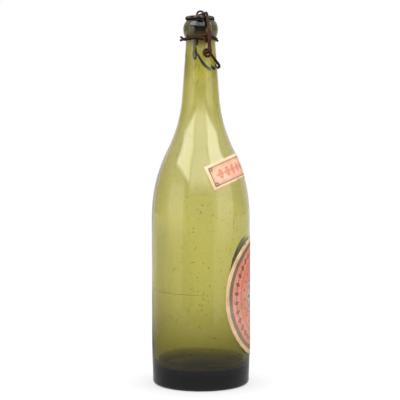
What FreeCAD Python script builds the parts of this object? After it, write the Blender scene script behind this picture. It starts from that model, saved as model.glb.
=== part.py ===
import FreeCAD, Part
import math
import os
import Sketcher

# Swing top bottle: a mould-blown quart bottle, closed by a rubber stopper on a bent-wire bail.
# The bottle stands on the XY plane and its axis is Z. The thumb lever is at the front, towards -Y,
# and the wires turn about axes along X. All sizes are in millimetres and degrees.

doc = FreeCAD.newDocument("swing_top_bottle")
vector = FreeCAD.Vector

SIZES = {
    # Glass: outside of the body, from the table up
    "foot_inner": 32.0,
    "foot_outer": 36.6,
    "heel_radius": 3.4,
    "tuck_height": 45.0,
    "body_radius": 41.0,
    "body_top": 138.0,
    "shoulder_radius": 125.0,
    "hollow_radius": 115.0,
    "neck_low_radius": 15.2,
    "neck_low_height": 243.2,
    "neck_top_radius": 12.3,
    "neck_top_height": 283.0,
    # Glass: the blob lip
    "collar_radius": 12.25,
    "collar_height": 285.3,
    "blob_radius": 14.45,
    "blob_height": 293.4,
    "blob_round": 10.0,
    "lip_round": 2.0,
    "glass_height": 300.0,
    # Glass: inside
    "mouth_radius": 9.4,
    "mouth_round": 1.2,
    "bore_foot_height": 281.0,
    "wall": 3.6,
    "valley_radius": 4.0,
    "punt_depth": 8.0,
    "base_glass": 14.5,
    # Stopper, from the lip up
    "seal_gap": 0.15,
    "seal_thickness": 0.9,
    "seal_radius": 11.6,
    "seal_hole": 8.6,
    "disc_radius": 12.1,
    "disc_thickness": 2.3,
    "disc_round": 1.0,
    "plug_top_radius": 8.2,
    "plug_foot_radius": 6.9,
    "plug_depth": 5.4,
    "plug_round": 0.8,
    "washer_radius": 5.6,
    "washer_thickness": 0.4,
    "clinch_radius": 5.2,
    "eye_wire": 1.6,
    "eye_half_width": 3.3,
    "eye_top": 308.8,
    "eye_hole_play": 0.04,
    # Bail wires
    "neck_wire": 1.8,
    "bail_wire": 2.3,
    "wire_play": 0.2,
    # Neck wire: ring around the neck, with an eye at each side
    "ring_radius": 13.65,
    "ring_side_radius": 14.3,
    "ring_back_height": 284.6,
    "ring_front_height": 284.8,
    "ring_side_height": 286.6,
    "side_eye_radius": 2.7,
    "side_eye_pitch": 1.9,
    "twist_radius": 1.05,
    "back_twist_start": 14.9,
    "back_twist_length": 2.8,
    "front_twist_start": 14.1,
    "front_twist_length": 0.8,
    # Lever and yoke
    "pivot_height": 284.4,
    "loop_height": 272.0,
    "loop_setback": 1.2,
    "loop_radius": 2.7,
    "grip_radius": 15.7,
    "grip_height": 261.9,
    "grip_rise": 8.5,
    "yoke_shoulder": 13.3,
    "yoke_waist_height": 288.0,
    # Paper labels
    "glue": 0.02,
    "paper": 0.15,
    "label_turn": 24.0,
    "oval_half_width": 42.5,
    "oval_half_height": 49.5,
    "oval_height": 73.5,
    "strip_width": 20.8,
    "strip_tilt": 24.4,
    "strip_end_forward": 3.7,
    "strip_end_height": 179.2,
}
sheet = doc.addObject("Spreadsheet::Sheet", "Sizes")
for row, (alias, value) in enumerate(SIZES.items(), 1):
    sheet.set("A%d" % row, alias)
    sheet.set("B%d" % row, str(value))
    sheet.setAlias("B%d" % row, alias)
doc.recompute()


def size(alias):
    return float(sheet.get(alias))


def polar(centre, radius, angle):
    return (centre[0] + radius * math.cos(angle), centre[1] + radius * math.sin(angle))


def towards(start, end, length):
    """The point at a length from start on the way to end."""
    share = length / math.dist(start, end)
    return (start[0] + (end[0] - start[0]) * share, start[1] + (end[1] - start[1]) * share)


# Sketch helpers: an edge is its number in the sketch and the numbers of its first and last point

def new_sketch(body, name, role):
    sketch = body.newObject("Sketcher::SketchObject", name)
    plane = [feature for feature in body.Origin.OriginFeatures if feature.Role == role][0]
    sketch.AttachmentSupport = [(plane, "")]
    sketch.MapMode = "FlatFace"
    return sketch


def line(sketch, start, end):
    segment = Part.LineSegment(vector(start[0], start[1], 0), vector(end[0], end[1], 0))
    return (sketch.addGeometry(segment), 1, 2)


def arc(sketch, centre, start, end):
    circle = Part.Circle(vector(centre[0], centre[1], 0), vector(0, 0, 1), math.dist(centre, start))
    first = math.atan2(start[1] - centre[1], start[0] - centre[0])
    last = math.atan2(end[1] - centre[1], end[0] - centre[0])
    if (last - first) % (2 * math.pi) < math.pi:
        return (sketch.addGeometry(Part.ArcOfCircle(circle, first, last)), 1, 2)
    return (sketch.addGeometry(Part.ArcOfCircle(circle, last, first)), 2, 1)


def join(sketch, kind, first, second):
    sketch.addConstraint(Sketcher.Constraint(kind, first[0], first[2], second[0], second[1]))


def dimension(sketch, expression, kind, *places):
    value = float(sketch.evalExpression(expression))
    index = sketch.addConstraint(Sketcher.Constraint(kind, *places, value))
    sketch.setExpression("Constraints[%d]" % index, expression)


def across(sketch, edge, end, expression):
    dimension(sketch, expression, "DistanceX", -1, 1, edge[0], edge[end])


def height(sketch, edge, end, expression):
    dimension(sketch, expression, "DistanceY", -1, 1, edge[0], edge[end])


def on_axis(sketch, edge, point, axis):
    sketch.addConstraint(Sketcher.Constraint("PointOnObject", edge[0], point, axis))


def revolve(body, sketch, name):
    feature = body.newObject("PartDesign::Revolution", name)
    feature.Profile = sketch
    feature.ReferenceAxis = (sketch, ["V_Axis"])
    feature.Angle = 360.0
    sketch.Visibility = False
    return feature


UPRIGHT, LEVEL = -2, -1
CENTRE = 3

# Glass bottle: one outline, from the push-up under the base, up the outside, over the lip and down the bore

body_radius = size("body_radius")
body_top = size("body_top")
wall = size("wall")
glass_height = size("glass_height")

punt_depth = size("punt_depth")
foot_inner = size("foot_inner")
foot_outer = size("foot_outer")
punt_radius = (foot_inner ** 2 + punt_depth ** 2) / (2 * punt_depth)
punt_centre = (0, punt_depth - punt_radius)

heel_radius = size("heel_radius")
tuck_height = size("tuck_height")
heel_centre = (foot_outer, heel_radius)
overhang = body_radius - foot_outer
tuck_rise = tuck_height - heel_radius
tuck_radius = (tuck_rise ** 2 + overhang ** 2 - heel_radius ** 2) / (2 * (overhang - heel_radius))
tuck_centre = (body_radius - tuck_radius, tuck_height)
heel_end = towards(tuck_centre, heel_centre, tuck_radius)

# The hollow of the neck touches the shoulder's arc and the straight taper of the neck
shoulder_radius = size("shoulder_radius")
hollow_radius = size("hollow_radius")
shoulder_centre = (body_radius - shoulder_radius, body_top)
neck_top = (size("neck_top_radius"), size("neck_top_height"))
neck_low = (size("neck_low_radius"), size("neck_low_height"))
taper = math.atan2(neck_low[0] - neck_top[0], neck_top[1] - neck_low[1])
down_neck = (math.sin(taper), -math.cos(taper))
off_neck = (math.cos(taper), math.sin(taper))
reach_x = neck_top[0] + hollow_radius * off_neck[0] - shoulder_centre[0]
reach_y = neck_top[1] + hollow_radius * off_neck[1] - shoulder_centre[1]
along = reach_x * down_neck[0] + reach_y * down_neck[1]
between = hollow_radius + shoulder_radius
run = -along - math.sqrt(along ** 2 - reach_x ** 2 - reach_y ** 2 + between ** 2)
neck_foot = (neck_top[0] + run * down_neck[0], neck_top[1] + run * down_neck[1])
hollow_centre = (neck_foot[0] + hollow_radius * off_neck[0], neck_foot[1] + hollow_radius * off_neck[1])
shoulder_end = towards(shoulder_centre, hollow_centre, shoulder_radius)

collar = (size("collar_radius"), size("collar_height"))
blob_side = (size("blob_radius"), size("blob_height"))
swell = blob_side[0] - collar[0]
blob_low_radius = ((blob_side[1] - collar[1]) ** 2 + swell ** 2) / (2 * swell)
blob_low_centre = (blob_side[0] - blob_low_radius, blob_side[1])
blob_round = size("blob_round")
lip_round = size("lip_round")
blob_high_centre = (blob_side[0] - blob_round, blob_side[1])
lip_rise = glass_height - lip_round - blob_side[1]
lip_x = blob_high_centre[0] + math.sqrt((blob_round - lip_round) ** 2 - lip_rise ** 2)
lip_centre = (lip_x, glass_height - lip_round)
lip_start = towards(blob_high_centre, lip_centre, blob_round)
mouth_radius = size("mouth_radius")
mouth_round = size("mouth_round")
mouth_edge = (mouth_radius + mouth_round, glass_height)
mouth_foot = (mouth_radius, glass_height - mouth_round)

bore_drop = (neck_top[1] - size("bore_foot_height")) * math.tan(taper)
bore_foot = (neck_top[0] + bore_drop - wall / math.cos(taper), size("bore_foot_height"))
neck_foot_inside = towards(neck_foot, hollow_centre, -wall)
shoulder_end_inside = towards(shoulder_centre, hollow_centre, shoulder_radius - wall)
valley_radius = size("valley_radius")
dome_radius = punt_radius + size("base_glass")
valley_x = body_radius - wall - valley_radius
valley_rise = math.sqrt((dome_radius + valley_radius) ** 2 - valley_x ** 2)
valley_centre = (valley_x, punt_centre[1] + valley_rise)
dome_end = towards(punt_centre, valley_centre, dome_radius)
dome_top = (0, punt_depth + size("base_glass"))

bottle = doc.addObject("PartDesign::Body", "glass_bottle")
profile = new_sketch(bottle, "bottle_outline", "XZ_Plane")
punt = arc(profile, punt_centre, (0, punt_depth), (foot_inner, 0))
foot = line(profile, (foot_inner, 0), (foot_outer, 0))
heel = arc(profile, heel_centre, (foot_outer, 0), heel_end)
tuck = arc(profile, tuck_centre, heel_end, (body_radius, tuck_height))
side = line(profile, (body_radius, tuck_height), (body_radius, body_top))
shoulder = arc(profile, shoulder_centre, (body_radius, body_top), shoulder_end)
hollow = arc(profile, hollow_centre, shoulder_end, neck_foot)
neck = line(profile, neck_foot, neck_top)
under_lip = line(profile, neck_top, collar)
blob_low = arc(profile, blob_low_centre, collar, blob_side)
blob_high = arc(profile, blob_high_centre, blob_side, lip_start)
lip = arc(profile, lip_centre, lip_start, (lip_x, glass_height))
land = line(profile, (lip_x, glass_height), mouth_edge)
mouth = arc(profile, (mouth_edge[0], mouth_foot[1]), mouth_edge, mouth_foot)
bore = line(profile, mouth_foot, bore_foot)
neck_inside = line(profile, bore_foot, neck_foot_inside)
hollow_inside = arc(profile, hollow_centre, neck_foot_inside, shoulder_end_inside)
shoulder_inside = arc(profile, shoulder_centre, shoulder_end_inside, (body_radius - wall, body_top))
side_inside = line(profile, (body_radius - wall, body_top), (body_radius - wall, valley_centre[1]))
valley = arc(profile, valley_centre, (body_radius - wall, valley_centre[1]), dome_end)
dome = arc(profile, punt_centre, dome_end, dome_top)
middle = line(profile, dome_top, (0, punt_depth))

join(profile, "Coincident", punt, foot)
join(profile, "Tangent", foot, heel)
join(profile, "Tangent", heel, tuck)
join(profile, "Tangent", tuck, side)
join(profile, "Tangent", side, shoulder)
join(profile, "Tangent", shoulder, hollow)
join(profile, "Tangent", hollow, neck)
join(profile, "Coincident", neck, under_lip)
join(profile, "Coincident", under_lip, blob_low)
join(profile, "Tangent", blob_low, blob_high)
join(profile, "Tangent", blob_high, lip)
join(profile, "Tangent", lip, land)
join(profile, "Tangent", land, mouth)
join(profile, "Tangent", mouth, bore)
join(profile, "Coincident", bore, neck_inside)
join(profile, "Tangent", neck_inside, hollow_inside)
join(profile, "Tangent", hollow_inside, shoulder_inside)
join(profile, "Tangent", shoulder_inside, side_inside)
join(profile, "Tangent", side_inside, valley)
join(profile, "Tangent", valley, dome)
join(profile, "Coincident", dome, middle)
join(profile, "Coincident", middle, punt)

on_axis(profile, punt, CENTRE, UPRIGHT)
on_axis(profile, punt, punt[1], UPRIGHT)
on_axis(profile, foot, 1, LEVEL)
on_axis(profile, foot, 2, LEVEL)
on_axis(profile, dome, dome[2], UPRIGHT)
height(profile, punt, 1, "Sizes.punt_depth")
across(profile, foot, 1, "Sizes.foot_inner")
across(profile, foot, 2, "Sizes.foot_outer")
dimension(profile, "Sizes.heel_radius", "Radius", heel[0])
profile.addConstraint(Sketcher.Constraint("Vertical", side[0]))
across(profile, side, 2, "Sizes.body_radius")
height(profile, side, 1, "Sizes.tuck_height")
height(profile, side, 2, "Sizes.body_top")
dimension(profile, "Sizes.shoulder_radius", "Radius", shoulder[0])
dimension(profile, "Sizes.hollow_radius", "Radius", hollow[0])
across(profile, neck, 2, "Sizes.neck_top_radius")
height(profile, neck, 2, "Sizes.neck_top_height")
mark = (profile.addGeometry(Part.Point(vector(neck_low[0], neck_low[1], 0)), True), 1, 1)
across(profile, mark, 1, "Sizes.neck_low_radius")
height(profile, mark, 1, "Sizes.neck_low_height")
on_axis(profile, mark, 1, neck[0])
across(profile, under_lip, 2, "Sizes.collar_radius")
height(profile, under_lip, 2, "Sizes.collar_height")
across(profile, blob_low, 2, "Sizes.blob_radius")
height(profile, blob_low, 2, "Sizes.blob_height")
dimension(profile, "Sizes.blob_height", "DistanceY", -1, 1, blob_low[0], CENTRE)
dimension(profile, "Sizes.blob_round", "Radius", blob_high[0])
dimension(profile, "Sizes.lip_round", "Radius", lip[0])
profile.addConstraint(Sketcher.Constraint("Horizontal", land[0]))
height(profile, land, 1, "Sizes.glass_height")
across(profile, land, 2, "Sizes.mouth_radius + Sizes.mouth_round")
dimension(profile, "Sizes.mouth_round", "Radius", mouth[0])
height(profile, bore, 2, "Sizes.bore_foot_height")
dimension(profile, "Sizes.wall", "Distance", bore[0], bore[2], neck[0])
profile.addConstraint(Sketcher.Constraint("Parallel", neck_inside[0], neck[0]))
profile.addConstraint(Sketcher.Constraint("Coincident", hollow_inside[0], CENTRE, hollow[0], CENTRE))
profile.addConstraint(Sketcher.Constraint("Coincident", shoulder_inside[0], CENTRE, shoulder[0], CENTRE))
profile.addConstraint(Sketcher.Constraint("Vertical", side_inside[0]))
dimension(profile, "Sizes.valley_radius", "Radius", valley[0])
profile.addConstraint(Sketcher.Constraint("Coincident", dome[0], CENTRE, punt[0], CENTRE))
height(profile, dome, 2, "Sizes.punt_depth + Sizes.base_glass")
doc.recompute()
revolve(bottle, profile, "bottle_glass")

# Stopper: a hard rubber disc and plug in one, turned about the bottle's axis

disc_foot = "Sizes.glass_height + Sizes.seal_gap + Sizes.seal_thickness"
disc_top = disc_foot + " + Sizes.disc_thickness"
plug_foot = "Sizes.glass_height - Sizes.plug_depth"
disc_foot_height = glass_height + size("seal_gap") + size("seal_thickness")
disc_top_height = disc_foot_height + size("disc_thickness")
plug_foot_height = glass_height - size("plug_depth")
disc_radius = size("disc_radius")
disc_round = size("disc_round")
plug_round = size("plug_round")
plug_top_radius = size("plug_top_radius")
plug_foot_radius = size("plug_foot_radius")

blank = doc.addObject("PartDesign::Body", "stopper_blank")
outline = new_sketch(blank, "stopper_outline", "XZ_Plane")
under = line(outline, (0, plug_foot_height), (plug_foot_radius - plug_round, plug_foot_height))
corner = arc(
    outline,
    (plug_foot_radius - plug_round, plug_foot_height + plug_round),
    (plug_foot_radius - plug_round, plug_foot_height),
    (plug_foot_radius, plug_foot_height + plug_round),
)
flank = line(outline, (plug_foot_radius, plug_foot_height + plug_round), (plug_top_radius, disc_foot_height))
ledge = line(outline, (plug_top_radius, disc_foot_height), (disc_radius - disc_round, disc_foot_height))
low_edge = arc(
    outline,
    (disc_radius - disc_round, disc_foot_height + disc_round),
    (disc_radius - disc_round, disc_foot_height),
    (disc_radius, disc_foot_height + disc_round),
)
rim = line(outline, (disc_radius, disc_foot_height + disc_round), (disc_radius, disc_top_height - disc_round))
high_edge = arc(
    outline,
    (disc_radius - disc_round, disc_top_height - disc_round),
    (disc_radius, disc_top_height - disc_round),
    (disc_radius - disc_round, disc_top_height),
)
crown = line(outline, (disc_radius - disc_round, disc_top_height), (0, disc_top_height))
core = line(outline, (0, disc_top_height), (0, plug_foot_height))
join(outline, "Tangent", under, corner)
join(outline, "Coincident", corner, flank)
join(outline, "Coincident", flank, ledge)
join(outline, "Tangent", ledge, low_edge)
join(outline, "Tangent", low_edge, rim)
join(outline, "Tangent", rim, high_edge)
join(outline, "Tangent", high_edge, crown)
join(outline, "Coincident", crown, core)
join(outline, "Coincident", core, under)
on_axis(outline, core, 1, UPRIGHT)
on_axis(outline, core, 2, UPRIGHT)
for level in (under, ledge, crown):
    outline.addConstraint(Sketcher.Constraint("Horizontal", level[0]))
outline.addConstraint(Sketcher.Constraint("Vertical", rim[0]))
height(outline, under, 1, plug_foot)
across(outline, flank, 1, "Sizes.plug_foot_radius")
dimension(outline, "Sizes.plug_round", "Radius", corner[0])
height(outline, flank, 1, plug_foot + " + Sizes.plug_round")
across(outline, flank, 2, "Sizes.plug_top_radius")
height(outline, ledge, 1, disc_foot)
across(outline, rim, 1, "Sizes.disc_radius")
dimension(outline, "Sizes.disc_round", "Radius", low_edge[0])
dimension(outline, "Sizes.disc_round", "Radius", high_edge[0])
height(outline, crown, 2, disc_top)
doc.recompute()
revolve(blank, outline, "stopper_rubber")


# Washers and holes: plain cylinders, cut by the two holes that the wire staple passes through

def cylinder(name, radius, foot_height, length, forward="0"):
    solid = doc.addObject("Part::Cylinder", name)
    solid.setExpression("Radius", radius)
    solid.setExpression("Height", length)
    solid.setExpression("Placement.Base.y", "-(%s)" % forward)
    solid.setExpression("Placement.Base.z", foot_height)
    return solid


def cut(label, base, tool):
    result = doc.addObject("Part::Cut", label)
    result.Base = base
    result.Tool = tool
    return result


hole_radius = "Sizes.eye_wire / 2 + Sizes.eye_hole_play"
hole_foot = plug_foot + " - 5"
hole_length = "Sizes.plug_depth + 15"
holes = doc.addObject("Part::Fuse", "staple_holes")
holes.Base = cylinder("front_hole", hole_radius, hole_foot, hole_length, "Sizes.eye_half_width")
holes.Tool = cylinder("back_hole", hole_radius, hole_foot, hole_length, "-Sizes.eye_half_width")

rubber_stopper = cut("rubber_stopper", blank, holes)
top_blank = cylinder("top_washer_blank", "Sizes.washer_radius", disc_top, "Sizes.washer_thickness")
top_washer = cut("top_washer", top_blank, holes)
clinch_foot = plug_foot + " - Sizes.washer_thickness"
clinch_blank = cylinder("clinch_washer_blank", "Sizes.clinch_radius", clinch_foot, "Sizes.washer_thickness")
clinch_washer = cut("clinch_washer", clinch_blank, holes)
seal_foot = "Sizes.glass_height + Sizes.seal_gap"
seal_blank = cylinder("seal_blank", "Sizes.seal_radius", seal_foot, "Sizes.seal_thickness")
seal_bore = cylinder("seal_bore", "Sizes.seal_hole", seal_foot, "Sizes.seal_thickness")
seal_ring = cut("seal_ring", seal_blank, seal_bore)


# Bent wires: straight runs joined by tangent arcs, swept by a round section

def rounded_path(corners):
    """A wire through the corners, given as points with a bend radius, or None for as round as fits."""
    edges = []
    last = corners[0][0]
    for (before, _), (corner, bend), (after, _) in zip(corners, corners[1:], corners[2:]):
        inward = (corner - before) * (1 / corner.distanceToPoint(before))
        outward = (after - corner) * (1 / corner.distanceToPoint(after))
        half_turn = inward.getAngle(outward) / 2
        if bend is None:
            room = min(corner.distanceToPoint(before), corner.distanceToPoint(after))
            bend = 0.49 * room / math.tan(half_turn)
        trim = bend * math.tan(half_turn)
        sag = (outward - inward).normalize() * (bend / math.cos(half_turn) - bend)
        first = corner - inward * trim
        final = corner + outward * trim
        edges.append(Part.LineSegment(last, first).toShape())
        edges.append(Part.Arc(first, corner + sag, final).toShape())
        last = final
    edges.append(Part.LineSegment(last, corners[-1][0]).toShape())
    return Part.Wire(edges)


def bent_wire(label, corners, thickness):
    path = doc.addObject("Part::Feature", label + "_path")
    path.Shape = rounded_path(corners)
    section = doc.addObject("Part::Circle", label + "_section")
    section.setExpression("Radius", thickness + " / 2")
    start = corners[0][0]
    section.Placement = FreeCAD.Placement(start, FreeCAD.Rotation(vector(0, 0, 1), corners[1][0] - start))
    sweep = doc.addObject("Part::Sweep", label)
    sweep.Sections = [section]
    sweep.Spine = (path, ["Edge%d" % (number + 1) for number in range(len(path.Shape.Edges))])
    sweep.Solid = True
    sweep.Frenet = False
    sweep.Transition = "Transformed"
    return sweep


def spot(side, out, forward, level):
    """A point at a distance out to the left (-1) or right (1) side, and forward of the bottle's axis."""
    return vector(side * out, -forward, level)


neck_wire = size("neck_wire")
bail_wire = size("bail_wire")
wire_play = size("wire_play")
eye_pitch = size("side_eye_pitch")
side_height = size("ring_side_height")
side_radius = size("ring_side_radius")
ring_radius = size("ring_radius")
eye_radius = size("side_eye_radius")


def twist(side, facing, level, start, length, turns):
    """One strand of a twisted pair, from the neck out to a splayed tip."""
    strand = []
    steps = 4
    first_angle = 0 if side > 0 else math.pi
    for step in range(steps + 1):
        angle = first_angle + 2 * math.pi * turns * step / steps
        spread = size("twist_radius") * (1.5 if step == steps else 1)
        forward = facing * (start + length * step / steps)
        strand.append(vector(spread * math.cos(angle), -forward, level + spread * math.sin(angle)))
    return strand


def ring_spot(side, angle, radius, level):
    return spot(side, radius * math.sin(math.radians(angle)), radius * math.cos(math.radians(angle)), level)


def neck_wire_corners(side):
    """From the front twist, around one side of the neck with its eye, to the back twist."""
    front = size("ring_front_height")
    back = size("ring_back_height")
    points = twist(side, 1, front, size("front_twist_start"), size("front_twist_length"), 0.1)[::-1]
    points.append(ring_spot(side, 36, ring_radius, front + 0.3))
    points.append(ring_spot(side, 54, ring_radius, front + 0.7))
    points.append(ring_spot(side, 72, side_radius, side_height))
    # The eye is one full turn that steps outward by its pitch
    steps = 8
    step_angle = 2 * math.pi / steps
    for step in range(steps):
        angle = math.pi / 2 + step_angle * (step + 0.5)
        forward, level = polar((0, side_height - eye_radius), eye_radius / math.cos(step_angle / 2), angle)
        points.append(spot(side, side_radius + eye_pitch * (step + 0.5) / steps, forward, level))
    points.append(spot(side, side_radius + eye_pitch, -2.8, side_height))
    points.append(ring_spot(side, 117, ring_radius + 1.0, side_height - 0.5))
    points.append(ring_spot(side, 135, ring_radius + 0.1, back + 0.5))
    points.append(ring_spot(side, 150, ring_radius, back + 0.2))
    points.extend(twist(side, -1, back, size("back_twist_start"), size("back_twist_length"), 0.35))
    return [(point, None) for point in points]


neck_wire_left = bent_wire("neck_wire_left", neck_wire_corners(-1), "Sizes.neck_wire")
neck_wire_right = bent_wire("neck_wire_right", neck_wire_corners(1), "Sizes.neck_wire")

# Lever: its ends turn in the eyes, each side has a coiled loop, and the thumb grip bows around the neck
pivot_height = size("pivot_height")
loop_centre = (-size("loop_setback"), size("loop_height"))
loop_radius = size("loop_radius")
eye_face = side_radius + eye_pitch * 0.9 + neck_wire / 2
lever_out = eye_face + wire_play + bail_wire / 2
loop_pitch = bail_wire + 0.1
pin_end = size("collar_radius") + 0.5


def grip_spot(side, angle):
    """A point of the thumb grip, which sinks from the side of the neck to its front."""
    out, forward = polar((0, 0), size("grip_radius"), angle)
    return spot(side, out, forward, size("grip_height") + size("grip_rise") * (1 - math.sin(angle)))


def lever_corners(side):
    points = [(spot(side, pin_end, 0, pivot_height), None)]
    points.append((spot(side, lever_out, 0, pivot_height), bail_wire * 0.75))
    pin_distance = math.dist(loop_centre, (0, pivot_height))
    pin_angle = math.atan2(pivot_height - loop_centre[1], -loop_centre[0])
    enter = pin_angle - math.acos(loop_radius / pin_distance)
    grip = [grip_spot(side, math.radians(angle)) for angle in (32, 54, 77)]
    grip_start = (-grip[0].y, grip[0].z)
    grip_distance = math.dist(loop_centre, grip_start)
    grip_angle = math.atan2(grip_start[1] - loop_centre[1], grip_start[0] - loop_centre[0])
    leave = grip_angle + math.acos(loop_radius / grip_distance)
    turn = 2 * math.pi + enter - leave
    steps = 7
    for step in range(steps):
        angle = enter - turn * (step + 0.5) / steps
        forward, level = polar(loop_centre, loop_radius / math.cos(turn / steps / 2), angle)
        points.append((spot(side, lever_out - loop_pitch * (step + 0.5) / steps, forward, level), None))
    points.extend((point, None) for point in grip)
    return points


lever_bail = bent_wire("lever_bail", lever_corners(-1) + lever_corners(1)[::-1], "Sizes.bail_wire")

# Yoke: over the stopper and down both sides, its ends turned in through the loops of the lever
yoke_out = lever_out + bail_wire + wire_play
hook_height = loop_centre[1] + loop_radius - bail_wire - wire_play
bar_height = disc_top_height + size("washer_thickness") + wire_play / 2 + bail_wire / 2
waist_height = size("yoke_waist_height")
waist_share = (bar_height - waist_height) / (bar_height - hook_height)
hook_end = lever_out - loop_pitch - bail_wire * 0.8


def yoke_corners(side):
    return [
        (spot(side, hook_end, loop_centre[0], hook_height), None),
        (spot(side, yoke_out, loop_centre[0], hook_height), bail_wire * 0.8),
        (spot(side, yoke_out, loop_centre[0] * waist_share, waist_height), 9.0),
        (spot(side, size("yoke_shoulder"), 0, bar_height), 3.0),
    ]


yoke_bail = bent_wire("yoke_bail", yoke_corners(-1) + yoke_corners(1)[::-1], "Sizes.bail_wire")

# Staple: an arch over the yoke, its legs through the stopper and bent in under the lower washer
eye_wire = size("eye_wire")
half_width = size("eye_half_width")
arch_height = size("eye_top") - eye_wire / 2
clinch_height = plug_foot_height - size("washer_thickness") - eye_wire / 2 - 0.02
staple_corners = []
for facing in (-1, 1):
    leg = [
        (spot(1, 0, facing * 0.5, clinch_height), None),
        (spot(1, 0, facing * half_width, clinch_height), eye_wire * 0.6),
        (spot(1, 0, facing * half_width, arch_height), half_width * 0.98),
    ]
    staple_corners += leg if facing < 0 else leg[::-1]
stopper_eye = bent_wire("stopper_eye", staple_corners, "Sizes.eye_wire")

# Strip label: a sheet on the shoulder and hollow, cut by a tilted box as wide as the strip

glue = size("glue")
paper = size("paper")


def shoulder_band(lift, low, high):
    """The edges of the outside between two heights, lifted off the glass."""
    rise = low - shoulder_centre[1]
    first = math.asin(rise / (shoulder_radius + lift))
    across_centres = math.atan2(hollow_centre[1] - shoulder_centre[1], hollow_centre[0] - shoulder_centre[0])
    fall = high - hollow_centre[1]
    last = math.pi - math.asin(fall / (hollow_radius - lift))
    bends = (
        (shoulder_centre, shoulder_radius + lift, first, across_centres),
        (hollow_centre, hollow_radius - lift, across_centres + math.pi, last),
    )
    edges = []
    for centre, radius, start, end in bends:
        spots = [polar(centre, radius, angle) for angle in (start, (start + end) / 2, end)]
        edges.append(Part.Arc(*[vector(spot_x, 0, spot_z) for spot_x, spot_z in spots]).toShape())
    return edges


low, high = 145.0, 205.0
lower_face = shoulder_band(glue, low, high)
upper_face = shoulder_band(glue + paper, low, high)
closing = []
for end, edge in ((0, 0), (-1, 1)):
    pair = [edges[edge].Vertexes[end].Point for edges in (lower_face, upper_face)]
    closing.append(Part.LineSegment(*pair).toShape())
band_edges = Part.__sortEdges__(lower_face + upper_face + closing)
band = doc.addObject("Part::Feature", "strip_band")
band.Shape = Part.Face(Part.Wire(band_edges)).revolve(vector(0, 0, 0), vector(0, 0, 1), 360)
strip_box = doc.addObject("Part::Box", "strip_box")
strip_box.setExpression("Length", "Sizes.body_radius * 3")
strip_box.setExpression("Width", "Sizes.body_radius * 3")
strip_box.setExpression("Height", "Sizes.strip_width")
strip_corner = FreeCAD.Placement(vector(0, -body_radius * 1.5, -size("strip_width")), FreeCAD.Rotation())
strip_turn = FreeCAD.Rotation(vector(0, 1, 0), -size("strip_tilt"))
strip_start = vector(size("strip_end_forward"), 0, size("strip_end_height"))
facing_turn = FreeCAD.Rotation(vector(0, 0, 1), -90 - size("label_turn"))
strip_place = FreeCAD.Placement(strip_start, strip_turn).multiply(strip_corner)
strip_box.Placement = FreeCAD.Placement(vector(0, 0, 0), facing_turn).multiply(strip_place)
neck_label = doc.addObject("Part::Common", "neck_label")
neck_label.Base = band
neck_label.Tool = strip_box

# Oval label: an ellipse on the flat sheet, rolled onto the straight side of the body

sheet_surface = Part.Cylinder()
sheet_surface.Radius = body_radius + glue
oval = Part.Geom2d.Ellipse2d(
    FreeCAD.Base.Vector2d(math.pi, size("oval_half_height")),
    FreeCAD.Base.Vector2d(math.pi - size("oval_half_width") / body_radius, 0),
    FreeCAD.Base.Vector2d(math.pi, 0),
)
oval_edge = oval.toShape(sheet_surface)
oval_face = Part.Face(sheet_surface, Part.Wire([oval_edge]))
oval_face.validate()
body_label = doc.addObject("Part::Feature", "body_label")
body_label.Shape = oval_face.makeOffsetShape(paper, 0.001, fill=True)
oval_turn = FreeCAD.Rotation(vector(0, 0, 1), 90 - size("label_turn"))
body_label.Placement = FreeCAD.Placement(vector(0, 0, size("oval_height")), oval_turn)

doc.recompute()

# Each piece is checked and written under its own name
PIECES = (
    bottle,
    neck_wire_left,
    neck_wire_right,
    lever_bail,
    yoke_bail,
    rubber_stopper,
    seal_ring,
    top_washer,
    stopper_eye,
    clinch_washer,
    neck_label,
    body_label,
)
for item in doc.Objects:
    if "Invalid" in item.State or "Error" in item.State:
        raise RuntimeError("%s did not build" % item.Name)
os.makedirs("parts", exist_ok=True)
for piece in PIECES:
    shape = piece.Shape
    if shape.isNull() or not shape.isValid() or shape.Volume <= 0:
        raise RuntimeError("%s has no sound solid" % piece.Label)
    shape.exportStep("parts/%s.step" % piece.Label)
    print(piece.Label, "volume", round(shape.Volume, 2), "solids", len(shape.Solids))
for sweep in (neck_wire_left, neck_wire_right, lever_bail, yoke_bail, stopper_eye):
    path = sweep.Spine[0].Shape
    section_area = math.pi * float(sweep.Sections[0].Radius) ** 2
    share = sweep.Shape.Volume / (section_area * path.Length)
    print(sweep.Label, "volume over section times length", round(share, 4))
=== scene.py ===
import math
import random

import bmesh
import bpy
from mathutils import Matrix, Vector, noise


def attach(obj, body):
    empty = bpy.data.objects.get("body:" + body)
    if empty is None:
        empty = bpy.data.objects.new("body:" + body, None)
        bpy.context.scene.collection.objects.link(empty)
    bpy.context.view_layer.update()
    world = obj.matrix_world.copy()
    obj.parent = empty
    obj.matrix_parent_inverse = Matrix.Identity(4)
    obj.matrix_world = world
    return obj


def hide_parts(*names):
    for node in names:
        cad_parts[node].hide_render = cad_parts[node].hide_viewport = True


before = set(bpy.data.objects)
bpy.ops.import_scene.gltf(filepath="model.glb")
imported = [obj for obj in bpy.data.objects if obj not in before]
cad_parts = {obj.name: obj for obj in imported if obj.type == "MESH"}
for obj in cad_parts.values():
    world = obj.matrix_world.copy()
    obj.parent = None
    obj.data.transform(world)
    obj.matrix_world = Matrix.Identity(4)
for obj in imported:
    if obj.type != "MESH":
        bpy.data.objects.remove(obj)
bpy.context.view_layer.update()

# Bottle: a quart of olive green glass, blown in a mould and pushed up underneath, with a thick
# rounded lip laid on by hand. The walls are uneven, thicker towards the base, and full of seeds.
mm = 0.001


def at(radius, height):
    """A place on an outline, in millimetres from the axis and from the floor."""
    return Vector((radius * mm, 0, height * mm))


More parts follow.
